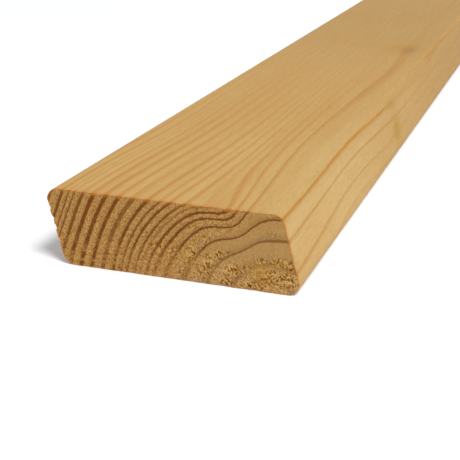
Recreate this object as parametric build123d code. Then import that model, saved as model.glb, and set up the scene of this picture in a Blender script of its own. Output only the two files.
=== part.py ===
from build123d import *
import math
import os

# A planed softwood cladding batten of rhombus section. It lies on its back face, with its length along Y,
# its width along X, and the origin on that face below the middle of the batten.

# Driving dimensions, in millimetres and degrees
LENGTH = 1800.0
WIDTH = 68.0  # across the section's sharp corners, before its arrises are rounded
THICKNESS = 20.0  # from the back face to the front face
BEVEL_ANGLE = 15.0  # how far the two long edges lean from square, so that rain runs off a wall of them
ARRIS_RADIUS = 3.0  # rounding of the four long arrises

# How far the front face stands to the left of the back face, seen along +Y
BEVEL_SHIFT = THICKNESS * math.tan(math.radians(BEVEL_ANGLE))


def rhombus_section():
    """The section square to the length: back and front faces level, both edges leaning the same way."""
    left = -WIDTH / 2
    right = WIDTH / 2
    outline = Polyline(
        (left + BEVEL_SHIFT, 0),
        (right, 0),
        (right - BEVEL_SHIFT, THICKNESS),
        (left, THICKNESS),
        close=True,
    )
    sharp = make_face(outline)
    return fillet(sharp.vertices(), ARRIS_RADIUS)


def rhombus_batten():
    """One stick of the section, sawn square at both ends, with its middle over the origin."""
    return extrude(Plane.XZ * rhombus_section(), amount=LENGTH / 2, both=True)


os.makedirs("parts", exist_ok=True)
export_step(rhombus_batten(), "parts/rhombus_batten.step")
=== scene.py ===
import math

import bmesh
import bpy
import numpy as np
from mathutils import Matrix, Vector, noise


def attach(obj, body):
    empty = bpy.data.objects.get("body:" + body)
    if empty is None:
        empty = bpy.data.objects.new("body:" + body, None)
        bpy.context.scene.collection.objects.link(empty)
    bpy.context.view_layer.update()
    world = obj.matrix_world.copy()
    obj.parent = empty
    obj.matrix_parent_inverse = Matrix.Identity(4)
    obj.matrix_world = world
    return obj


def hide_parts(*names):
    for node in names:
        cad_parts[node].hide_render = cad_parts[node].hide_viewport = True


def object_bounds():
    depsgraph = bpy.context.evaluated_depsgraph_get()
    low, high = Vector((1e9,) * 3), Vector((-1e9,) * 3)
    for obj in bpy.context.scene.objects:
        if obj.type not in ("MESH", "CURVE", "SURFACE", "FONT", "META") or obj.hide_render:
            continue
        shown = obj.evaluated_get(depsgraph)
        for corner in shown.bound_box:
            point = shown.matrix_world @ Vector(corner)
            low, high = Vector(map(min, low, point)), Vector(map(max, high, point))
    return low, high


bl_info = {
    "name": "Rhombus Cladding Batten",
    "version": (1, 0, 0),
    "blender": (4, 5, 0),
    "location": "View3D > Sidebar > Batten",
    "description": "A planed softwood cladding batten of rhombus section, with growth rings and sawn ends",
    "category": "Object",
}

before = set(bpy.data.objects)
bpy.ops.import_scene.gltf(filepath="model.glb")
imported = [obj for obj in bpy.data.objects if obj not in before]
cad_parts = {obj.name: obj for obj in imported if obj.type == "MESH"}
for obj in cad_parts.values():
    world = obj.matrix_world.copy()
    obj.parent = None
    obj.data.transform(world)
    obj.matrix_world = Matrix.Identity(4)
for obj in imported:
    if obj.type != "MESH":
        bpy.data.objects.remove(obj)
cad_low, cad_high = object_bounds()
cad_size = cad_high - cad_low

MILLIMETRE = 0.001

# The stage, in metres and degrees
FLOOR_SIZE = 8.0
FLOOR_HEIGHT = -0.00005  # just below the batten's back face
FLOOR_LIFT = 0.128  # how much the floor is lifted towards white where it is seen
KEY_PLACE = (2.80, -3.20, 5.80)
KEY_TARGET = (0.0, -0.8, 0.0)
KEY_SIZE = 2.0
CAMERA_PLACE = (0.09079, -1.11142, 0.09962)
CAMERA_DIP = 20.701
CAMERA_TURN = 19.544
CAMERA_SENSOR = 36.0  # in millimetres

# The tree that the batten was sawn from. Places are in millimetres: x across the section, run along the
# length from the near end, and z up from the back face.
PITH_X = 25.5
PITH_Z = -1.5
PITH_DRIFT_X = 4.0  # how far the pith has moved once the swirl at the near end has died out
PITH_DRIFT_Z = -1.0
PITH_DRIFT_RUN = 48.0
RING_SQUASH = 0.78  # the rings are ovals, wider across the section than they are high
SPREAD_LIMIT = 64.0  # no point of the section lies further out from the pith
RAGGEDNESS = 2.2  # how strongly torn fibre stands out on a sawn end

# Each growth ring's dark late wood, from the pith outwards: how far out it lies, its width and its darkness
GROWTH_RINGS = (
    (2.2, 0.60, 0.30),
    (5.5, 0.90, 0.65),
    (9.6, 0.75, 0.85),
    (16.1, 0.72, 0.90),
    (20.9, 0.52, 0.95),
    (24.15, 0.42, 0.95),
    (25.9, 0.44, 0.95),
    (27.1, 0.48, 1.00),
    (28.15, 0.34, 0.42),
    (28.9, 0.36, 0.90),
    (30.4, 0.45, 0.95),
    (31.5, 0.38, 0.80),
    (33.0, 0.62, 1.00),
    (35.3, 0.95, 0.74),
    (37.7, 0.75, 1.00),
    (40.15, 0.90, 1.00),
    (42.65, 0.90, 1.00),
    (44.8, 0.70, 0.90),
    (46.5, 0.34, 0.80),
    (47.5, 0.34, 0.78),
    (48.75, 0.60, 0.95),
    (51.2, 0.80, 0.90),
    (53.4, 0.60, 0.85),
    (55.8, 0.90, 0.90),
    (58.5, 0.80, 0.90),
)

# Where the rings swell out or draw in: how much, the place, the reach along x, run and z, and the turn in
# degrees
SWELLINGS = (
    # The rings' double bend on the near end, up on the right
    (4.5, (19.0, -15, 14.0), (5.0, 35, 13.0), 45),
    # The lines on the right edge draw together, then part again further along
    (-2.5, (32.0, 65, 9.0), (16.0, 35, 6.0), -45),
    (4.5, (30.0, 175, 15.0), (4.0, 50, 20.0), 90),
    (-3.0, (31.0, 175, 8.0), (3.0, 40, 20.0), 15),
    # The rings bulge low in the middle of the near end, and dip where they near the pith
    (4.5, (7.0, 10, 5.0), (14.0, 45, 18.0), -30),
    (-4.0, (23.0, 10, 10.0), (6.0, 20, 4.0), -60),
    # The rings stand steeper at the left of the near end
    (2.5, (-30.0, -25, 12.0), (18.0, 110, 15.0), 0),
    (-0.4, (-30.0, 30, 20.0), (14.0, 24, 9.0), 0),
    (-0.5, (20.5, 214, 20.0), (5.0, 14, 8.0), 0),
    (-0.8, (28.5, 240, 19.0), (4.0, 32, 5.0), 0),
    (1.6, (-14.0, 420, 17.0), (9.0, 90, 9.0), 17),
    (-2.4, (8.0, 560, 20.0), (10.0, 110, 10.0), 0),
    (2.2, (24.0, 780, 12.0), (9.0, 80, 9.0), 29),
    (-1.8, (-20.0, 900, 6.0), (11.0, 140, 9.0), -23),
    (2.6, (6.0, 1120, 3.0), (8.0, 90, 10.0), 11),
    (-2.2, (22.0, 1340, 18.0), (12.0, 120, 9.0), 0),
    (1.9, (-6.0, 1560, 14.0), (9.0, 100, 9.0), 34),
    (2.8, (12.0, 1790, 15.0), (6.0, 60, 10.0), -29),
)

# Pin knots: how dark, the place, and the reach along x, run and z
KNOTS = (
    (0.75, (20.0, 213, 20.0), (2.9, 9, 2.0)),
    (0.80, (-9.0, 640, 20.0), (1.4, 3, 2.0)),
    (0.80, (14.0, 980, 0.0), (2.0, 4, 2.0)),
    (0.80, (-16.0, 1290, 20.0), (1.8, 4, 2.0)),
    (0.80, (4.0, 1480, 0.0), (1.5, 3, 2.0)),
)
# Wood stained with resin beside the knots and on the near end, in the same way
STAINS = (
    (0.70, (23.4, 0, 4.8), (3.2, 5, 2.6)),
    (0.40, (29.5, 0, 7.5), (3.0, 5, 1.2)),
    (0.40, (5.5, 0, 6.0), (1.6, 5, 3.0)),
    (0.55, (14.5, 216, 20.0), (4.5, 8, 2.0)),
    (0.25, (19.0, 222, 20.0), (9.0, 20, 4.0)),
    (0.65, (29.1, 126, 17.8), (1.1, 6, 1.6)),
    (0.75, (31.6, 127, 8.8), (2.4, 6, 4.8)),
    (0.35, (-9.0, 652, 20.0), (2.2, 14, 2.0)),
)

# How strongly the late wood shows on the planed faces, by the run: of most rings, and of some that differ
LINE_STRENGTH = ((0, 0.86), (60, 0.55), (115, 0.28), (180, 0.16), (420, 0.16), (700, 0.60), (1800, 0.75))
BOLD_LINES = (
    (
        24.15,
        (
            (0, 0.80), (60, 0.55), (105, 0.50), (130, 0.68),
            (190, 0.58), (215, 0.40), (240, 0.20), (1800, 0.80),
        ),
    ),
    (
        20.9,
        (
            (0, 1.0), (112, 1.0), (130, 0.20), (200, 0.15),
            (208, 0.65), (240, 0.55), (300, 0.35), (1800, 0.80),
        ),
    ),
    (
        16.1,
        (
            (0, 0.78), (60, 0.62), (110, 0.58),
            (135, 0.35), (200, 0.20), (1800, 0.80),
        ),
    ),
    (
        9.6,
        (
            (0, 0.70), (60, 0.48), (110, 0.38),
            (150, 0.20), (1800, 0.80),
        ),
    ),
)
# How far the planed faces are darkened by painted shade along the run, and how pale their early wood is by
# the spread
FAR_SHADE = (
    (0, 0.0),
    (40, 0.04),
    (110, 0.25),
    (160, 0.40),
    (220, 0.76),
    (300, 1.0),
    (420, 0.95),
    (800, 0.3),
    (1800, 0.0),
)
PALENESS = (
    (0, 1.0),
    (19.2, 0.95),
    (20.3, 0.70),
    (20.7, 0.20),
    (21.2, 0.60),
    (22.0, 0.55),
    (22.6, 0.05),
    (28, 0.05),
    (29, 0.40),
    (35, 0.38),
    (38, 0.22),
    (42, 0.06),
    (64, 0.05),
)

# Patches of torn fibre on a sawn end: x, z, reach along x and z, and how badly torn
TORN_PATCHES = (
    (24.2, 7.8, 2.4, 0.9, 0.80),
    (28.6, 7.9, 3.6, 1.2, 1.00),
    (31.0, 6.9, 1.4, 1.1, 0.95),
    (16.5, 4.2, 2.6, 1.7, 0.95),
    (10.2, 5.2, 1.5, 3.0, 0.85),
    (12.7, 7.8, 1.2, 1.6, 0.85),
    (14.8, 8.7, 1.1, 0.8, 0.60),
    (14.6, 1.2, 2.0, 1.2, 0.90),
    (21.5, 1.0, 3.2, 1.2, 1.00),
    (20.2, 5.5, 1.3, 0.8, 0.80),
    (28.3, 3.4, 4.0, 2.5, 0.95),
    (32.0, 2.8, 0.9, 1.3, 0.90),
    (5.9, 7.2, 1.4, 2.6, 0.75),
    (0.9, 6.8, 1.6, 1.5, 0.80),
    (7.6, 3.0, 1.8, 2.4, 0.35),
    (3.2, 2.0, 1.4, 2.0, 0.45),
    (9.5, 11.4, 1.8, 1.6, 0.30),
    (6.0, 14.2, 1.6, 1.2, 0.22),
    (12.5, 16.6, 2.4, 0.6, 0.25),
    (26.0, 19.3, 2.0, 0.5, 0.35),
    (27.2, 14.9, 2.2, 0.7, 0.40),
    (-3.0, 8.0, 2.0, 1.4, 0.50),
)

# The edges of a sawn end: which way each faces, how far it is broken inwards at the most and how long its
# ripples are in millimetres, and how orange its rim is
EDGE_WEAR = (
    ((-0.966, -0.259), 0.66, 1.25, 0.85),
    ((-0.95, 0.3), 0.55, 5.0, 0.70),
    ((-0.6, 0.8), 0.45, 5.0, 0.60),
    ((0.966, 0.259), 0.18, 1.2, 0.60),
    ((0.0, 1.0), 0.10, 1.5, 0.30),
    ((0.0, -1.0), 0.40, 3.0, 0.25),
)


def spread_from_pith(places):
    """How far out in the tree places given in millimetres lie."""
    settled = 1 - np.exp(-((places[:, 1] / PITH_DRIFT_RUN) ** 2))
    across = (places[:, 0] - PITH_X - PITH_DRIFT_X * settled) * RING_SQUASH
    upward = places[:, 2] - PITH_Z - PITH_DRIFT_Z * settled
    spread = np.hypot(across, upward)
    for amount, centre, reach, turn in SWELLINGS:
        away = places - np.array(centre)
        cosine = math.cos(math.radians(turn))
        sine = math.sin(math.radians(turn))
        along_x = (away[:, 0] * cosine + away[:, 2] * sine) / reach[0]
        along_z = (away[:, 2] * cosine - away[:, 0] * sine) / reach[2]
        spread += amount * np.exp(-(along_x**2) - (away[:, 1] / reach[1]) ** 2 - along_z**2)
    return spread


def late_wood_at(places):
    """How much of the wood at places given in millimetres is dark late wood, from 0 to 1."""
    spread = spread_from_pith(places)
    late = np.zeros(len(places))
    for radius, width, darkness in GROWTH_RINGS:
        late = np.maximum(late, darkness * np.exp(-((spread - radius) / (0.6 * width)) ** 2))
    return late


class Wiring:
    """Adds nodes to one node tree and joins them, so that a material reads as a list of steps."""

    def __init__(self, tree):
        self.tree = tree
        tree.nodes.clear()

    def add(self, kind, **settings):
        node = self.tree.nodes.new(kind)
        for name, value in settings.items():
            setattr(node, name, value)
        return node

    def feed(self, socket, value):
        if isinstance(value, bpy.types.NodeSocket):
            self.tree.links.new(value, socket)
        else:
            socket.default_value = value

    def maths(self, operation, *values):
        node = self.add("ShaderNodeMath", operation=operation)
        for socket, value in zip(node.inputs, values):
            self.feed(socket, value)
        return node.outputs["Value"]

    def vector(self, operation, first, second):
        node = self.add("ShaderNodeVectorMath", operation=operation)
        self.feed(node.inputs[0], first)
        self.feed(node.inputs[1], second)
        return node.outputs["Value" if operation == "DOT_PRODUCT" else "Vector"]

    def noise(self, place, scale, detail=2.0, roughness=0.5):
        node = self.add("ShaderNodeTexNoise")
        self.feed(node.inputs["Vector"], place)
        node.inputs["Scale"].default_value = scale
        node.inputs["Detail"].default_value = detail
        node.inputs["Roughness"].default_value = roughness
        return node.outputs["Fac"]

    def step(self, value, start, end, low=0.0, high=1.0):
        node = self.add("ShaderNodeMapRange", interpolation_type="SMOOTHSTEP")
        self.feed(node.inputs["Value"], value)
        self.feed(node.inputs["From Min"], start)
        self.feed(node.inputs["From Max"], end)
        self.feed(node.inputs["To Min"], low)
        self.feed(node.inputs["To Max"], high)
        return node.outputs["Result"]

    def spot(self, place, centre, reach, turn=0.0):
        """A soft round spot: 1 at the centre, fading out over the reach along x, y and z."""
        local = self.add("ShaderNodeMapping", vector_type="TEXTURE")
        self.feed(local.inputs["Vector"], place)
        local.inputs["Location"].default_value = centre
        local.inputs["Rotation"].default_value = (0.0, -math.radians(turn), 0.0)
        local.inputs["Scale"].default_value = reach
        away = self.vector("DOT_PRODUCT", local.outputs["Vector"], local.outputs["Vector"])
        return self.maths("EXPONENT", self.maths("MULTIPLY", away, -1.0))

    def mix(self, amount, first, second):
        node = self.add("ShaderNodeMix", data_type="RGBA")
        self.feed(node.inputs["Factor"], amount)
        self.feed(node.inputs[6], first)
        self.feed(node.inputs[7], second)
        return node.outputs[2]

    def shaded(self, colour, shade):
        """The colour made darker or lighter by a number."""
        node = self.add("ShaderNodeVectorMath", operation="SCALE")
        self.feed(node.inputs["Vector"], colour)
        self.feed(node.inputs["Scale"], shade)
        return node.outputs["Vector"]

    def chart(self, value, points):
        """A curve through the points, which lie between 0 and 1 both ways, joined by straight lines."""
        node = self.add("ShaderNodeFloatCurve")
        curve = node.mapping.curves[0]
        curve.points[0].location = points[0]
        curve.points[1].location = points[-1]
        for point in points[1:-1]:
            curve.points.new(*point)
        for point in curve.points:
            point.handle_type = "VECTOR"
        node.mapping.update()
        self.feed(node.inputs["Value"], value)
        return node.outputs["Value"]

    def bump(self, shader, height, strength, distance):
        node = self.add("ShaderNodeBump")
        node.inputs["Strength"].default_value = strength
        node.inputs["Distance"].default_value = distance
        self.feed(node.inputs["Height"], height)
        self.feed(shader.inputs["Normal"], node.outputs["Normal"])


def ring_charts():
    """Curves over the spread: the count of rings passed, a ring's share of its year, and its darkness."""
    radii = [0.0] + [radius for radius, width, darkness in GROWTH_RINGS] + [SPREAD_LIMIT]
    counts = [(0.0, 0.0)]
    shares = [(0.0, 0.2)]
    depths = [(0.0, 0.1)]
    for number, (radius, width, darkness) in enumerate(GROWTH_RINGS, 1):
        inner = radii[number - 1]
        outer = radii[number + 1]
        place = radius / SPREAD_LIMIT
        counts.append((place, (number - 0.5) / len(GROWTH_RINGS)))
        counts.append(((radius + outer) / 2 / SPREAD_LIMIT, number / len(GROWTH_RINGS)))
        shares.append((place, 2 * width / (outer - inner)))
        depths.append((place, darkness))
    return counts, shares, depths


def growth_group():
    """A node group that gives the growth rings at a place in millimetres."""
    group = bpy.data.node_groups.new("growth_rings", "ShaderNodeTree")
    group.interface.new_socket("Place", in_out="INPUT", socket_type="NodeSocketVector")
    group.interface.new_socket("Shift", in_out="INPUT", socket_type="NodeSocketFloat")
    for name in ("Late", "Line", "Fresh", "Spread", "Turn"):
        group.interface.new_socket(name, in_out="OUTPUT", socket_type="NodeSocketFloat")
    wiring = Wiring(group)
    entry = wiring.add("NodeGroupInput")
    place = entry.outputs["Place"]
    parts = wiring.add("ShaderNodeSeparateXYZ")
    wiring.feed(parts.inputs[0], place)
    x, run, z = parts.outputs

    settling = wiring.maths("POWER", wiring.maths("DIVIDE", run, PITH_DRIFT_RUN), 2.0)
    unsettled = wiring.maths("EXPONENT", wiring.maths("MULTIPLY", settling, -1.0))
    settled = wiring.maths("SUBTRACT", 1.0, unsettled)
    pith_x = wiring.maths("MULTIPLY_ADD", settled, PITH_DRIFT_X, PITH_X)
    pith_z = wiring.maths("MULTIPLY_ADD", settled, PITH_DRIFT_Z, PITH_Z)
    across = wiring.maths("MULTIPLY", wiring.maths("SUBTRACT", x, pith_x), RING_SQUASH)
    upward = wiring.maths("SUBTRACT", z, pith_z)
    squares = wiring.maths("MULTIPLY_ADD", across, across, wiring.maths("MULTIPLY", upward, upward))
    spread = wiring.maths("ADD", wiring.maths("SQRT", squares), entry.outputs["Shift"])
    for amount, centre, reach, turn in SWELLINGS:
        spread = wiring.maths("MULTIPLY_ADD", wiring.spot(place, centre, reach, turn), amount, spread)

    # Broad irregularities that run far along the length, and grow stronger away from the near end
    broad = wiring.noise(wiring.vector("MULTIPLY", place, (1.0, 0.05, 1.0)), 0.16, 1.0)
    growing = wiring.step(run, 60.0, 400.0, 0.1, 1.2)
    sway = wiring.maths("MULTIPLY", wiring.maths("SUBTRACT", broad, 0.5), growing)
    spread = wiring.maths("ADD", spread, sway)

    counts, shares, depths = ring_charts()
    far = wiring.maths("DIVIDE", spread, SPREAD_LIMIT)
    count = wiring.maths("MULTIPLY", wiring.chart(far, counts), float(len(GROWTH_RINGS)))
    share = wiring.chart(far, shares)
    depth = wiring.chart(far, depths)
    # Half way between two rings the phase is 0, and in the middle of a ring's late wood it is 0.5
    phase = wiring.maths("SUBTRACT", wiring.maths("FRACT", count), 0.5)
    off = wiring.maths("DIVIDE", phase, share)
    band = wiring.step(wiring.maths("ABSOLUTE", off), 0.34, 0.66, 1.0, 0.0)
    # The lines on the planed faces grow wide and soft away from the near end
    soft = wiring.maths("DIVIDE", off, wiring.step(run, 60.0, 150.0, 1.25, 2.0))
    line = wiring.maths("MULTIPLY", wiring.step(soft, -1.0, 0.25), wiring.step(soft, 0.3, 0.85, 1.0, 0.0))
    fresh = wiring.maths("MULTIPLY", wiring.step(off, 0.2, 0.6), wiring.step(phase, 0.1, 0.5, 1.0, 0.0))
    leave = wiring.add("NodeGroupOutput")
    wiring.feed(leave.inputs["Late"], wiring.maths("MULTIPLY", band, depth))
    wiring.feed(leave.inputs["Line"], wiring.maths("MULTIPLY", line, depth))
    wiring.feed(leave.inputs["Fresh"], wiring.maths("MULTIPLY", fresh, depth))
    wiring.feed(leave.inputs["Spread"], spread)
    wiring.feed(leave.inputs["Turn"], wiring.maths("ARCTAN2", upward, across))
    return group


def start_material(name, length):
    """A fresh material: its wiring, its shader, and the place in millimetres from the near end."""
    material = bpy.data.materials.new(name)
    material.use_nodes = True
    wiring = Wiring(material.node_tree)
    output = wiring.add("ShaderNodeOutputMaterial")
    shader = wiring.add("ShaderNodeBsdfPrincipled")
    wiring.feed(output.inputs["Surface"], shader.outputs["BSDF"])
    coordinates = wiring.add("ShaderNodeTexCoord")
    near = wiring.vector("ADD", coordinates.outputs["Object"], (0.0, length / 2, 0.0))
    return material, wiring, shader, wiring.shaded(near, 1 / MILLIMETRE)


def rings_at(wiring, group, place, shift):
    """The growth rings at a place, pushed out by a small shift."""
    rings = wiring.add("ShaderNodeGroup", node_tree=group)
    wiring.feed(rings.inputs["Place"], place)
    wiring.feed(rings.inputs["Shift"], shift)
    return rings.outputs


def rgba(colour):
    return (colour[0], colour[1], colour[2], 1.0)


def as_shares(points):
    """The points of a curve with their places as shares of the last one's."""
    last = points[-1][0]
    return [(place / last, amount) for place, amount in points]


def planed_material(settings, group):
    """The planed long faces: pale early wood, orange late wood lines, and fine fibres along the length."""
    material, wiring, shader, place = start_material("planed_softwood", settings.length)
    along = wiring.vector("MULTIPLY", place, (1.0, 0.02, 1.0))
    fibres = wiring.noise(along, 1.7, 3.0, 0.6)
    streaks = wiring.noise(along, 0.14, 2.0)
    hairs = wiring.noise(wiring.vector("MULTIPLY", place, (1.0, 0.12, 1.0)), 1.9, 3.0, 0.6)
    grit = wiring.noise(wiring.vector("MULTIPLY", place, (1.0, 0.5, 1.0)), 2.6, 2.0)
    rings = rings_at(wiring, group, place, wiring.step(fibres, 0.2, 0.8, -0.10, 0.10))
    parts = wiring.add("ShaderNodeSeparateXYZ")
    wiring.feed(parts.inputs[0], place)
    run = parts.outputs["Y"]
    length = settings.length / MILLIMETRE
    share = wiring.maths("DIVIDE", run, length)

    pale = wiring.chart(wiring.maths("DIVIDE", rings["Spread"], SPREAD_LIMIT), as_shares(PALENESS))
    pale = wiring.maths("ADD", pale, wiring.step(streaks, 0.3, 0.7, -0.25, 0.25))
    pale = wiring.maths("MULTIPLY", pale, wiring.step(run, 40.0, 140.0, 1.0, 0.2))
    early = wiring.mix(pale, rgba(settings.early_colour), rgba(settings.pale_colour))
    # Painted shade: the planed faces darken towards the far shade colour away from the near end, most from
    # about 300 to 420 mm, and lighten again towards the far end
    early = wiring.mix(wiring.chart(share, as_shares(FAR_SHADE)), early, rgba(settings.far_shade_colour))
    clouds = wiring.noise(wiring.vector("MULTIPLY", place, (0.05, 0.016, 0.05)), 1.0, 2.0)
    early = wiring.mix(wiring.step(clouds, 0.40, 0.65, 0.0, 0.13), early, rgba(settings.late_colour))

    # Painted shade: the front arris on the right is darkened towards the far shade colour, to damp the
    # lighter strip that the light gives its rounding
    arris = wiring.spot(place, (28.4, 0.5 * length, 19.3), (1.7, 4.0 * length, 1.7))
    early = wiring.mix(wiring.maths("MULTIPLY", arris, 0.45), early, rgba(settings.far_shade_colour))

    strength = wiring.chart(share, as_shares(LINE_STRENGTH))
    deep = 0.0
    for radius, points in BOLD_LINES:
        away = wiring.maths("ABSOLUTE", wiring.maths("SUBTRACT", rings["Spread"], radius))
        here = wiring.step(away, 0.85, 0.55)
        bold = wiring.maths("MULTIPLY", wiring.chart(share, as_shares(points)), here)
        strength = wiring.maths("MULTIPLY_ADD", strength, wiring.maths("SUBTRACT", 1.0, here), bold)
        deep = wiring.maths("ADD", bold, deep)
    strength = wiring.maths("MULTIPLY", wiring.step(fibres, 0.1, 0.6, 0.75, 1.0), strength)
    line = wiring.maths("POWER", rings["Line"], 1.5)
    body = wiring.mix(wiring.maths("MULTIPLY", line, strength), early, rgba(settings.late_colour))
    for spots, colour in ((STAINS, settings.stain_colour), (KNOTS, settings.knot_colour)):
        for amount, centre, reach in spots:
            stain = wiring.maths("MULTIPLY", wiring.spot(place, centre, reach), amount)
            body = wiring.mix(stain, body, rgba(colour))
    from_end = wiring.maths("MINIMUM", run, wiring.maths("SUBTRACT", length, run))
    scorch = wiring.maths("MULTIPLY_ADD", rings["Line"], 0.7, 0.2)
    burnt = wiring.maths("MULTIPLY", wiring.step(from_end, 1.6, 0.2), scorch)
    body = wiring.mix(burnt, body, rgba([0.8 * part for part in settings.rim_colour]))
    shade = wiring.step(fibres, 0.2, 0.8, 0.97, 1.03)
    shade = wiring.maths("MULTIPLY", shade, wiring.step(grit, 0.2, 0.8, 0.94, 1.06))
    shade = wiring.maths("MULTIPLY", shade, wiring.step(hairs, 0.2, 0.8, 0.93, 1.07))
    deepened = wiring.maths("MULTIPLY", deep, line)
    shade = wiring.maths("MULTIPLY", shade, wiring.maths("MULTIPLY_ADD", deepened, -0.08, 1.0))
    wiring.feed(shader.inputs["Base Color"], wiring.shaded(body, shade))
    wiring.feed(shader.inputs["Roughness"], wiring.step(fibres, 0.2, 0.8, 0.66, 0.54))
    shader.inputs["Specular IOR Level"].default_value = 0.08
    relief = wiring.maths("ADD", wiring.maths("MULTIPLY_ADD", rings["Line"], 0.5, fibres), hairs)
    wiring.bump(shader, relief, 0.35, 0.00005)
    return material


def sawn_material(settings, group):
    """The sawn ends: end grain, darker than the faces, with torn fibre and an orange rim."""
    material, wiring, shader, place = start_material("sawn_end_grain", settings.length)
    specks = wiring.noise(wiring.vector("MULTIPLY", place, (1.2, 1.0, 1.0)), 2.4, 1.0, 0.6)
    fray = wiring.noise(place, 1.1, 3.0, 0.6)
    rings = rings_at(wiring, group, place, wiring.step(fray, 0.2, 0.8, -0.10, 0.10))
    parts = wiring.add("ShaderNodeSeparateXYZ")
    wiring.feed(parts.inputs[0], place)
    across = parts.outputs["X"]
    height = parts.outputs["Z"]
    polar = wiring.add("ShaderNodeCombineXYZ")
    wiring.feed(polar.inputs["X"], wiring.maths("MULTIPLY", rings["Turn"], 36.0))
    wiring.feed(polar.inputs["Y"], wiring.maths("MULTIPLY", rings["Spread"], 0.16))
    rays = wiring.noise(polar.outputs["Vector"], 1.0, 3.0, 0.65)

    heart = wiring.step(rings["Spread"], 27.0, 16.0)
    early = wiring.mix(heart, rgba(settings.end_early_colour), rgba(settings.end_pale_colour))
    rows = wiring.noise(wiring.vector("MULTIPLY", place, (0.16, 1.0, 0.85)), 1.0, 1.0)
    broken = wiring.step(rows, 0.36, 0.56, wiring.step(height, 1.0, 11.0, 0.35, 0.92), 1.0)
    broken = wiring.maths("MAXIMUM", broken, heart)
    strength = wiring.maths("MULTIPLY", broken, wiring.step(rings["Spread"], 8.0, 25.0, 0.62, 1.0))
    # The rings are fainter low down on the end
    low_down = wiring.step(height, 9.0, 4.0)
    faded = wiring.maths("MULTIPLY", wiring.step(rings["Spread"], 38.0, 24.0), low_down)
    strength = wiring.maths("MULTIPLY", strength, wiring.maths("MULTIPLY_ADD", faded, -0.32, 1.0))
    late = wiring.maths("MULTIPLY", rings["Late"], strength)
    body = wiring.mix(late, early, rgba(settings.end_late_colour))
    torn = wiring.add("ShaderNodeAttribute", attribute_name="torn")
    half_torn = wiring.maths("MULTIPLY", torn.outputs["Fac"], 0.5)
    body = wiring.mix(half_torn, body, rgba(settings.torn_colour))
    for amount, centre, reach in STAINS:
        stain = wiring.maths("MULTIPLY", wiring.spot(place, centre, reach), amount)
        body = wiring.mix(stain, body, rgba(settings.torn_colour))
    settled = wiring.maths("MULTIPLY_ADD", rings["Fresh"], -0.20, 1.0)
    body = wiring.shaded(body, wiring.maths("MULTIPLY", settled, wiring.step(rays, 0.2, 0.8, 0.94, 1.06)))
    # The early wood is cut cleanest near the pith, and high up on the right
    clean = wiring.maths("MULTIPLY_ADD", across, -0.25, rings["Spread"])
    smooth = wiring.maths("MULTIPLY", wiring.step(clean, 19.5, 16.5), wiring.step(height, 4.5, 7.5))
    coarse = wiring.maths("MULTIPLY_ADD", torn.outputs["Fac"], 3.2, 3.1)
    coarse = wiring.maths("MULTIPLY_ADD", smooth, -2.4, coarse)
    coarse = wiring.maths("MULTIPLY", coarse, wiring.maths("MULTIPLY_ADD", rings["Late"], -0.4, 1.0))
    # Painted shade and highlight: the torn fibre's pits are painted darker and its loose tips lighter. This
    # follows the same rag noise that gives the end its relief, on top of the fine speckle of the grain
    rag = wiring.add("ShaderNodeAttribute", attribute_name="rag")
    uneven = wiring.maths("MULTIPLY", wiring.maths("SUBTRACT", specks, 0.5), coarse)
    lifted = wiring.maths("ADD", rag.outputs["Fac"], 0.04)
    ragged = wiring.maths("MULTIPLY", torn.outputs["Fac"], lifted)
    uneven = wiring.maths("MULTIPLY_ADD", ragged, RAGGEDNESS, uneven)
    pitted_and_shaded = wiring.maths("MULTIPLY", uneven, -1.0)
    for amount, colour in ((pitted_and_shaded, settings.pit_colour_and_shade), (uneven, settings.fleck_colour_and_light)):
        tint = [mark / plain for mark, plain in zip(colour, settings.end_early_colour)]
        body = wiring.vector("MULTIPLY", body, wiring.mix(amount, rgba((1.0, 1.0, 1.0)), rgba(tint)))
    rim = wiring.add("ShaderNodeAttribute", attribute_name="rim")
    body = wiring.mix(rim.outputs["Fac"], body, rgba(settings.rim_colour))
    wiring.feed(shader.inputs["Base Color"], body)
    wiring.feed(shader.inputs["Roughness"], wiring.step(specks, 0.2, 0.8, 0.92, 0.74))
    shader.inputs["Specular IOR Level"].default_value = 0.05
    wiring.bump(shader, specks, 0.4, 0.0002)
    return material


def select_in_mesh(mesh_object, mode, test):
    """In edit mode, selects just the vertices, edges or faces that pass the test."""
    bpy.ops.mesh.select_mode(type=mode)
    bpy.ops.mesh.select_all(action="DESELECT")
    mesh = bmesh.from_edit_mesh(mesh_object.data)
    kinds = {"VERT": mesh.verts, "EDGE": mesh.edges, "FACE": mesh.faces}
    for element in kinds[mode]:
        element.select_set(test(element))
    mesh.select_flush_mode()
    bmesh.update_edit_mesh(mesh_object.data)


def arris_middles(settings):
    """What the arrises are rounded about: x of the two middles at the front, and z at the back and front."""
    radius = settings.arris_radius
    low = radius
    high = settings.thickness - radius
    left = radius - settings.width / 2
    right = -left - (high - low) * math.tan(settings.bevel_angle)
    return left, right, low, high


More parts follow.
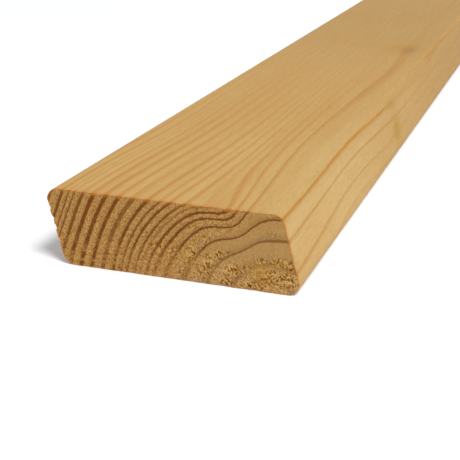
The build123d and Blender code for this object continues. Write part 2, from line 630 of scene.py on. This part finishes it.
def draw_batten(settings):
    """Draws the section's outline, fills it with a fine grid, and draws it out to the batten's length."""
    radius = settings.arris_radius
    lean = settings.bevel_angle
    near = -settings.length / 2
    left_x, right_x, low_z, centre_z = arris_middles(settings)
    start = (left_x - radius * math.cos(lean), near, centre_z - radius * math.sin(lean))

    bpy.ops.object.select_all(action="DESELECT")
    bpy.ops.mesh.primitive_plane_add(size=radius, location=start)
    batten = bpy.context.object
    batten.name = "batten"
    batten.data.name = "batten"
    bpy.ops.object.transform_apply(location=True, rotation=True, scale=True)
    bpy.ops.object.mode_set(mode="EDIT")
    bpy.ops.mesh.select_all(action="SELECT")
    bpy.ops.mesh.merge(type="CENTER")

    # The front face with its two arrises, from one bevelled edge to the other
    turning = (0, -1, 0)
    bpy.ops.mesh.spin(
        steps=settings.arris_steps, angle=math.pi / 2 + lean, center=(left_x, near, centre_z), axis=turning
    )
    bpy.ops.mesh.extrude_vertices_move(TRANSFORM_OT_translate={"value": (right_x - left_x, 0, 0)})
    bpy.ops.mesh.spin(
        steps=settings.arris_steps, angle=math.pi / 2 - lean, center=(right_x, near, centre_z), axis=turning
    )
    # The back face is the same line, turned half round
    bpy.ops.mesh.select_all(action="SELECT")
    bpy.ops.mesh.duplicate()
    middle = (0, near, settings.thickness / 2)
    bpy.ops.transform.rotate(value=math.pi, orient_axis="Y", orient_type="GLOBAL", center_override=middle)
    # The two long lines are cut up in two goes, first into pieces of five faces and then into faces
    piece = 5 * settings.grid
    select_in_mesh(batten, "EDGE", lambda edge: edge.calc_length() > 2 * radius)
    bpy.ops.mesh.subdivide(number_cuts=round((right_x - left_x) / piece) - 1)
    select_in_mesh(batten, "EDGE", lambda edge: edge.calc_length() > piece / 2)
    bpy.ops.mesh.subdivide(number_cuts=4)
    bpy.ops.mesh.select_all(action="SELECT")
    rows = round(settings.thickness / settings.grid)
    bpy.ops.mesh.bridge_edge_loops(type="SINGLE", number_cuts=rows - 1, interpolation="LINEAR")
    bpy.ops.mesh.select_all(action="SELECT")
    bpy.ops.mesh.extrude_region_move(TRANSFORM_OT_translate={"value": (0, settings.length, 0)})
    for distance in cut_places(settings):
        bpy.ops.mesh.select_all(action="SELECT")
        bpy.ops.mesh.bisect(plane_co=(0, near + distance, 0), plane_no=(0, 1, 0))
    bpy.ops.mesh.select_all(action="SELECT")
    bpy.ops.mesh.normals_make_consistent(inside=False)
    mesh = bmesh.from_edit_mesh(batten.data)
    open_edges = sum(1 for edge in mesh.edges if len(edge.link_faces) != 2)
    bpy.ops.object.mode_set(mode="OBJECT")
    if open_edges:
        raise RuntimeError(f"the batten's mesh isn't closed: {open_edges} edges")
    return batten


def cut_places(settings):
    """Where rings of edges go round the batten, as distances from the near end: close by the ends."""
    close = [0.0003, 0.0007, 0.0013, 0.0025, 0.006, 0.02]
    spacing = 0.3
    between = int(settings.length / spacing)
    even = [spacing * number for number in range(1, between)]
    return close + even + [settings.length - distance for distance in close]


def mesh_places(mesh):
    """The places of a mesh's vertices, as an array."""
    places = np.empty(len(mesh.vertices) * 3)
    mesh.vertices.foreach_get("co", places)
    return places.reshape(-1, 3)


def outline_distance(section, settings):
    """How far in from a sawn end's rounded outline places lie, in millimetres, and which way out is."""
    radius = settings.arris_radius / MILLIMETRE
    left, right, low, high = (value / MILLIMETRE for value in arris_middles(settings))
    middles = np.array([(left, high), (right, high), (-left, low), (-right, low)])
    flat = section[:, [0, 2]]
    nearest = np.full(len(flat), np.inf)
    outwards = np.zeros_like(flat)
    within = np.ones(len(flat), dtype=bool)
    for start, end in zip(middles, np.roll(middles, -1, axis=0)):
        along = end - start
        from_start = flat - start
        share = np.clip(from_start @ along / (along @ along), 0, 1)
        away = from_start - share[:, None] * along
        distance = np.hypot(away[:, 0], away[:, 1])
        closer = distance < nearest
        nearest[closer] = distance[closer]
        outwards[closer] = away[closer] / np.maximum(distance[closer], 1e-9)[:, None]
        within &= along[0] * from_start[:, 1] - along[1] * from_start[:, 0] < 0
    return radius - np.where(within, -nearest, nearest), outwards


def torn_amount(flat):
    """How badly the fibre is torn at places on a sawn end, given by x and z, from 0 to 1."""
    total = 0.10 * np.clip((11 - flat[:, 1]) / 4, 0, 1)
    for x, z, wide, high, amount in TORN_PATCHES:
        away = ((flat[:, 0] - x) / wide) ** 2 + ((flat[:, 1] - z) / high) ** 2
        total = np.maximum(total, amount * np.clip(1.3 - 0.8 * away, 0, 1))
    return total


def fractal(place, scale):
    """Two octaves of smooth noise at a place, from about -1 to 1."""
    return noise.noise(place * scale) + 0.5 * noise.noise(place * scale * 2.1)


def weather_ends(batten, settings):
    """Gives both sawn ends their relief: torn fibre, proud late wood, and a ragged, broken edge."""
    mesh = batten.data
    places = mesh_places(mesh)
    half = settings.length / 2
    layers = {name: np.zeros(len(places)) for name in ("torn", "rag", "rim")}
    for side in (-1, 1):
        depth = (half - side * places[:, 1]) / MILLIMETRE
        by_end = np.flatnonzero(depth < 2.0)
        section = places[by_end] / MILLIMETRE
        section[:, 1] = 0.0 if side < 0 else settings.length / MILLIMETRE
        ragged_edge(places, by_end, section, depth[by_end], settings, layers["rim"])
        on_end = depth[by_end] < 0.001
        tear_end(places, by_end[on_end], section[on_end], side, layers)
    mesh.vertices.foreach_set("co", places.ravel())
    for name, values in layers.items():
        layer = mesh.attributes.new(name, "FLOAT", "POINT")
        layer.data.foreach_set("value", values)
    mesh.update()


def ragged_edge(places, chosen, section, depth, settings, rim):
    """Breaks the edges of a sawn end inwards a little, and marks the orange rim that they leave."""
    inside, outwards = outline_distance(section, settings)
    by_edge = np.flatnonzero(inside < 1.2)
    late = late_wood_at(section[by_edge])
    wear = np.zeros(len(by_edge))
    orange = np.zeros(len(by_edge))
    total = np.full(len(by_edge), 1e-9)
    for facing, most, ripple, warm in EDGE_WEAR:
        weight = np.clip(outwards[by_edge] @ np.array(facing), 0, 1) ** 8
        worn = [0.30 + 0.90 * fractal(Vector((x, y + 7.0, z)), 1 / ripple) for x, y, z in section[by_edge]]
        wear += weight * most * np.clip(worn, 0, 1)
        orange += weight * warm
        total += weight
    upper = np.clip(outwards[by_edge][:, 1], 0, 1) ** 4
    orange = np.maximum(orange / total, late * upper)
    amount = wear / total * np.clip(1 - inside[by_edge] / 0.9, 0, 1)
    amount *= np.clip(1 - depth[by_edge] / 1.3, 0, 1)
    moved = -amount[:, None] * outwards[by_edge] * MILLIMETRE
    places[chosen[by_edge], 0] += moved[:, 0]
    places[chosen[by_edge], 2] += moved[:, 1]
    patchy = [0.75 + 0.6 * fractal(Vector((x, y - 3.0, z)), 0.8) for x, y, z in section[by_edge]]
    rim_width = 0.38 + 0.25 * late * upper
    fading = np.clip(1.4 - inside[by_edge] / rim_width, 0, 1)
    rim[chosen[by_edge]] = orange * np.clip(patchy, 0.3, 1) * fading


def tear_end(places, chosen, section, side, layers):
    """Roughens one sawn end: a fine grain all over, and pits and loose tips where the fibre is torn."""
    late = late_wood_at(section)
    torn = torn_amount(section[:, [0, 2]]) * (1 - 0.7 * late)
    rag = np.array([noise.noise(Vector((x * 2.2, y + 0.37, z * 1.7))) for x, y, z in section])
    uneven = np.clip(RAGGEDNESS * torn * rag, -1, 1)
    out = 0.03 * rag + 0.04 * late + np.where(uneven > 0, 0.08, 0.22) * uneven
    places[chosen, 1] += side * (np.minimum(out, 0.12) - 0.12) * MILLIMETRE
    layers["torn"][chosen] = torn
    # The material reads this noise back to paint shade into the pits and highlight onto the loose tips
    layers["rag"][chosen] = rag


def lay_out_surface(batten, settings):
    """Lays the surface out flat for baking: the long faces side by side, each sawn end in its own strip."""
    mesh = batten.data
    places = mesh_places(mesh)
    half = settings.length / 2
    angle_of = section_walk(mesh, places, half)
    layer = mesh.uv_layers.new(name="OFBake")
    long_faces = (0.01, 0.63)
    strips = {-1: (0.65, 0.81), 1: (0.83, 0.99)}
    for face in mesh.polygons:
        corners = [(loop, mesh.loops[loop].vertex_index) for loop in face.loop_indices]
        if abs(face.normal.y) > 0.5:
            low, high = strips[1 if face.center.y > 0 else -1]
            for loop, vertex in corners:
                x, y, z = places[vertex]
                across = low + (high - low) * z / settings.thickness
                layer.data[loop].uv = (across, 0.5 + 0.98 * x / settings.width)
            continue
        walks = [angle_of[vertex] for loop, vertex in corners]
        wraps = max(walks) - min(walks) > 0.5
        for (loop, vertex), walk in zip(corners, walks):
            if wraps and walk < 0.5:
                walk += 1.0
            across = long_faces[0] + (long_faces[1] - long_faces[0]) * walk
            layer.data[loop].uv = (across, 0.5 + 0.98 * places[vertex][1] / settings.length)


def section_walk(mesh, places, half):
    """How far round the section each vertex of the long faces lies, as a share of the whole way round."""
    at_near_end = np.abs(places[:, 1] + half) < 1e-7
    neighbours = {}
    for face in mesh.polygons:
        if abs(face.normal.y) > 0.5:
            continue
        for first, second in face.edge_keys:
            if at_near_end[first] and at_near_end[second]:
                neighbours.setdefault(first, []).append(second)
                neighbours.setdefault(second, []).append(first)
    start = min(neighbours, key=lambda index: (places[index][2], places[index][0]))
    order = [start, neighbours[start][0]]
    while True:
        following = [index for index in neighbours[order[-1]] if index != order[-2]][0]
        if following == start:
            break
        order.append(following)
    steps = np.linalg.norm(np.diff(places[order + [start]], axis=0), axis=1)
    walked = np.concatenate([[0.0], np.cumsum(steps)[:-1]]) / steps.sum()
    by_place = {}
    for index, share in zip(order, walked):
        by_place[tuple(np.round(places[index][[0, 2]] * 1e6).astype(int))] = share
    return {
        index: by_place.get(tuple(np.round(place[[0, 2]] * 1e6).astype(int)), 0.0)
        for index, place in enumerate(places)
    }


def dress_batten(batten, settings):
    """Gives the planed faces and the sawn ends their own materials, and shades the mesh."""
    group = growth_group()
    batten.data.materials.append(planed_material(settings, group))
    batten.data.materials.append(sawn_material(settings, group))
    for face in batten.data.polygons:
        face.material_index = 1 if abs(face.normal.y) > 0.5 else 0
    bpy.ops.object.select_all(action="DESELECT")
    batten.select_set(True)
    bpy.context.view_layer.objects.active = batten
    bpy.ops.object.shade_smooth_by_angle(angle=math.radians(50))


class BattenSettings(bpy.types.PropertyGroup):
    """Sizes and colours of the batten."""

    length: bpy.props.FloatProperty(
        name="Length", description="From one sawn end to the other", default=cad_size.y, unit="LENGTH"
    )
    width: bpy.props.FloatProperty(
        name="Width",
        description="Across the section, over its rounded corners",
        default=cad_size.x,
        unit="LENGTH",
    )
    thickness: bpy.props.FloatProperty(
        name="Thickness",
        description="From the back face to the front face",
        default=cad_size.z,
        unit="LENGTH",
    )
    bevel_angle: bpy.props.FloatProperty(
        name="Bevel",
        description="How far the long edges lean from square",
        default=math.radians(15),
        unit="ROTATION",
    )
    arris_radius: bpy.props.FloatProperty(
        name="Arris", description="Rounding of the long arrises", default=0.003, unit="LENGTH"
    )
    arris_steps: bpy.props.IntProperty(
        name="Arris Steps",
        description="Faces round each arris",
        default=16,
        min=2,
    )
    grid: bpy.props.FloatProperty(
        name="End Grid", description="Size of the faces on the sawn ends", default=0.0002, unit="LENGTH"
    )
    early_colour: bpy.props.FloatVectorProperty(
        name="Early Wood", description="Planed early wood", subtype="COLOR", default=(0.543, 0.328, 0.110)
    )
    pale_colour: bpy.props.FloatVectorProperty(
        name="Pale Streaks",
        description="Planed wood in its palest streaks",
        subtype="COLOR",
        default=(0.598, 0.393, 0.152),
    )
    # Painted shade: the colour that the planed wood is darkened to away from the near end and along the
    # front arris on the right
    far_shade_colour: bpy.props.FloatVectorProperty(
        name="Far Shade",
        description="Planed wood away from the near end",
        subtype="COLOR",
        default=(0.443, 0.272, 0.091),
    )
    late_colour: bpy.props.FloatVectorProperty(
        name="Late Wood", description="Planed late wood", subtype="COLOR", default=(0.475, 0.210, 0.034)
    )
    knot_colour: bpy.props.FloatVectorProperty(
        name="Knots", description="Pin knots", subtype="COLOR", default=(0.335, 0.165, 0.050)
    )
    stain_colour: bpy.props.FloatVectorProperty(
        name="Stains",
        description="Wood stained with resin",
        subtype="COLOR",
        default=(0.42, 0.232, 0.028),
    )
    end_early_colour: bpy.props.FloatVectorProperty(
        name="End Early Wood",
        description="Sawn early wood",
        subtype="COLOR",
        default=(0.448, 0.237, 0.066),
    )
    end_pale_colour: bpy.props.FloatVectorProperty(
        name="End Pale Wood",
        description="Sawn early wood at its palest",
        subtype="COLOR",
        default=(0.446, 0.256, 0.087),
    )
    end_late_colour: bpy.props.FloatVectorProperty(
        name="End Late Wood", description="Sawn late wood", subtype="COLOR", default=(0.185, 0.056, 0.009)
    )
    torn_colour: bpy.props.FloatVectorProperty(
        name="Torn Wood",
        description="Sawn wood where the fibre is torn",
        subtype="COLOR",
        default=(0.465, 0.235, 0.040),
    )
    # Pits and flecks are partly the torn fibre's own colour, and partly painted shade in the pits and
    # painted highlight on the loose tips
    pit_colour_and_shade: bpy.props.FloatVectorProperty(
        name="Pits",
        description="Deep pits of the torn fibre",
        subtype="COLOR",
        default=(0.245, 0.070, 0.002),
    )
    fleck_colour_and_light: bpy.props.FloatVectorProperty(
        name="Flecks",
        description="Loose tips of the torn fibre",
        subtype="COLOR",
        default=(0.615, 0.392, 0.158),
    )
    rim_colour: bpy.props.FloatVectorProperty(
        name="Rim", description="Edge of a sawn end", subtype="COLOR", default=(0.62, 0.21, 0.026)
    )


class BattenStageSettings(bpy.types.PropertyGroup):
    """Floor, lights and camera."""

    floor_colour: bpy.props.FloatVectorProperty(
        name="Floor", description="Colour of the floor", subtype="COLOR", default=(0.895, 0.90, 0.912)
    )
    sky_strength: bpy.props.FloatProperty(
        name="Sky",
        description="Light from all round",
        default=0.40,
        min=0,
    )
    key_power: bpy.props.FloatProperty(
        name="Key Light",
        description="Soft light from the right",
        default=385.0,
        min=0,
    )
    lens: bpy.props.FloatProperty(
        name="Lens",
        description="Focal length of the camera, in millimetres",
        default=79.32,
    )


class OBJECT_OT_rhombus_batten(bpy.types.Operator):
    """Makes the batten: its rounded rhombus section drawn out to length, with grain and sawn ends"""

    bl_idname = "object.rhombus_batten"
    bl_label = "Batten"

    def execute(self, context):
        settings = context.scene.batten
        batten = draw_batten(settings)
        lay_out_surface(batten, settings)
        dress_batten(batten, settings)
        weather_ends(batten, settings)
        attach(batten, "root")
        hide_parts("rhombus_batten")
        return {"FINISHED"}


class SCENE_OT_batten_stage(bpy.types.Operator):
    """Sets the batten on a pale floor in soft light, seen from above its near end"""

    bl_idname = "scene.batten_stage"
    bl_label = "Stage"

    def execute(self, context):
        settings = context.scene.batten_stage
        lay_floor(settings)
        hang_lights(context, settings)
        place_camera(context, settings)
        return {"FINISHED"}


def lay_floor(settings):
    """A wide pale floor that shows near white and keeps the batten's shadow."""
    bpy.ops.mesh.primitive_plane_add(size=FLOOR_SIZE, location=(0, 0, FLOOR_HEIGHT))
    floor = bpy.context.object
    floor.name = "floor"
    material = bpy.data.materials.new("pale_floor")
    material.use_nodes = True
    wiring = Wiring(material.node_tree)
    output = wiring.add("ShaderNodeOutputMaterial")
    matt = wiring.add("ShaderNodeBsdfDiffuse")
    matt.inputs["Color"].default_value = rgba(settings.floor_colour)
    lift = wiring.add("ShaderNodeEmission")
    rays = wiring.add("ShaderNodeLightPath")
    seen = wiring.maths("MAXIMUM", rays.outputs["Is Camera Ray"], rays.outputs["Is Glossy Ray"])
    seen = wiring.maths("MAXIMUM", seen, rays.outputs["Is Transmission Ray"])
    wiring.feed(lift.inputs["Strength"], wiring.maths("MULTIPLY", seen, FLOOR_LIFT))
    lift.inputs["Color"].default_value = (0.64, 0.80, 1.0, 1.0)
    both = wiring.add("ShaderNodeAddShader")
    wiring.feed(both.inputs[0], matt.outputs["BSDF"])
    wiring.feed(both.inputs[1], lift.outputs["Emission"])
    wiring.feed(output.inputs["Surface"], both.outputs["Shader"])
    floor.data.materials.append(material)


def hang_lights(context, settings):
    """Even light from all round, and one large soft light high on the right."""
    world = bpy.data.worlds.new("studio")
    context.scene.world = world
    world.use_nodes = True
    wiring = Wiring(world.node_tree)
    output = wiring.add("ShaderNodeOutputWorld")
    sky = wiring.add("ShaderNodeBackground")
    sky.inputs["Color"].default_value = (1.0, 1.0, 1.0, 1.0)
    rays = wiring.add("ShaderNodeLightPath")
    seen = wiring.maths("MAXIMUM", rays.outputs["Is Camera Ray"], rays.outputs["Is Glossy Ray"])
    seen = wiring.maths("MAXIMUM", seen, rays.outputs["Is Transmission Ray"])
    wiring.feed(sky.inputs["Strength"], wiring.step(seen, 0.0, 1.0, settings.sky_strength, 1.0))
    wiring.feed(output.inputs["Surface"], sky.outputs["Background"])

    place = Vector(KEY_PLACE)
    bpy.ops.object.light_add(type="AREA", location=place)
    key = context.object
    key.name = "key_light"
    key.rotation_euler = (Vector(KEY_TARGET) - place).to_track_quat("-Z", "Y").to_euler()
    key.data.energy = settings.key_power
    key.data.size = KEY_SIZE


def place_camera(context, settings):
    """The camera above and to the right of the near end, looking down along the batten."""
    bpy.ops.object.camera_add(location=CAMERA_PLACE)
    camera = context.object
    camera.name = "camera"
    camera.rotation_euler = (math.radians(90 - CAMERA_DIP), 0.0, math.radians(CAMERA_TURN))
    camera.data.lens = settings.lens
    camera.data.sensor_width = CAMERA_SENSOR
    camera.data.clip_start = 0.01
    context.scene.camera = camera
    context.scene.view_settings.view_transform = "Standard"


class VIEW3D_PT_rhombus_batten(bpy.types.Panel):
    """Lists the batten's settings and the steps that make it"""

    bl_idname = "VIEW3D_PT_rhombus_batten"
    bl_label = "Rhombus Batten"
    bl_space_type = "VIEW_3D"
    bl_region_type = "UI"
    bl_category = "Batten"

    def draw(self, context):
        layout = self.layout
        for name in BattenSettings.__annotations__:
            layout.prop(context.scene.batten, name)
        layout.operator(OBJECT_OT_rhombus_batten.bl_idname)
        for name in BattenStageSettings.__annotations__:
            layout.prop(context.scene.batten_stage, name)
        layout.operator(SCENE_OT_batten_stage.bl_idname)


CLASSES = (
    BattenSettings,
    BattenStageSettings,
    OBJECT_OT_rhombus_batten,
    SCENE_OT_batten_stage,
    VIEW3D_PT_rhombus_batten,
)


def register():
    for entry in CLASSES:
        bpy.utils.register_class(entry)
    bpy.types.Scene.batten = bpy.props.PointerProperty(type=BattenSettings)
    bpy.types.Scene.batten_stage = bpy.props.PointerProperty(type=BattenStageSettings)


def unregister():
    del bpy.types.Scene.batten_stage
    del bpy.types.Scene.batten
    for entry in reversed(CLASSES):
        bpy.utils.unregister_class(entry)


def main():
    register()
    bpy.ops.object.rhombus_batten()
    bpy.ops.scene.batten_stage()


if __name__ == "__main__":
    main()
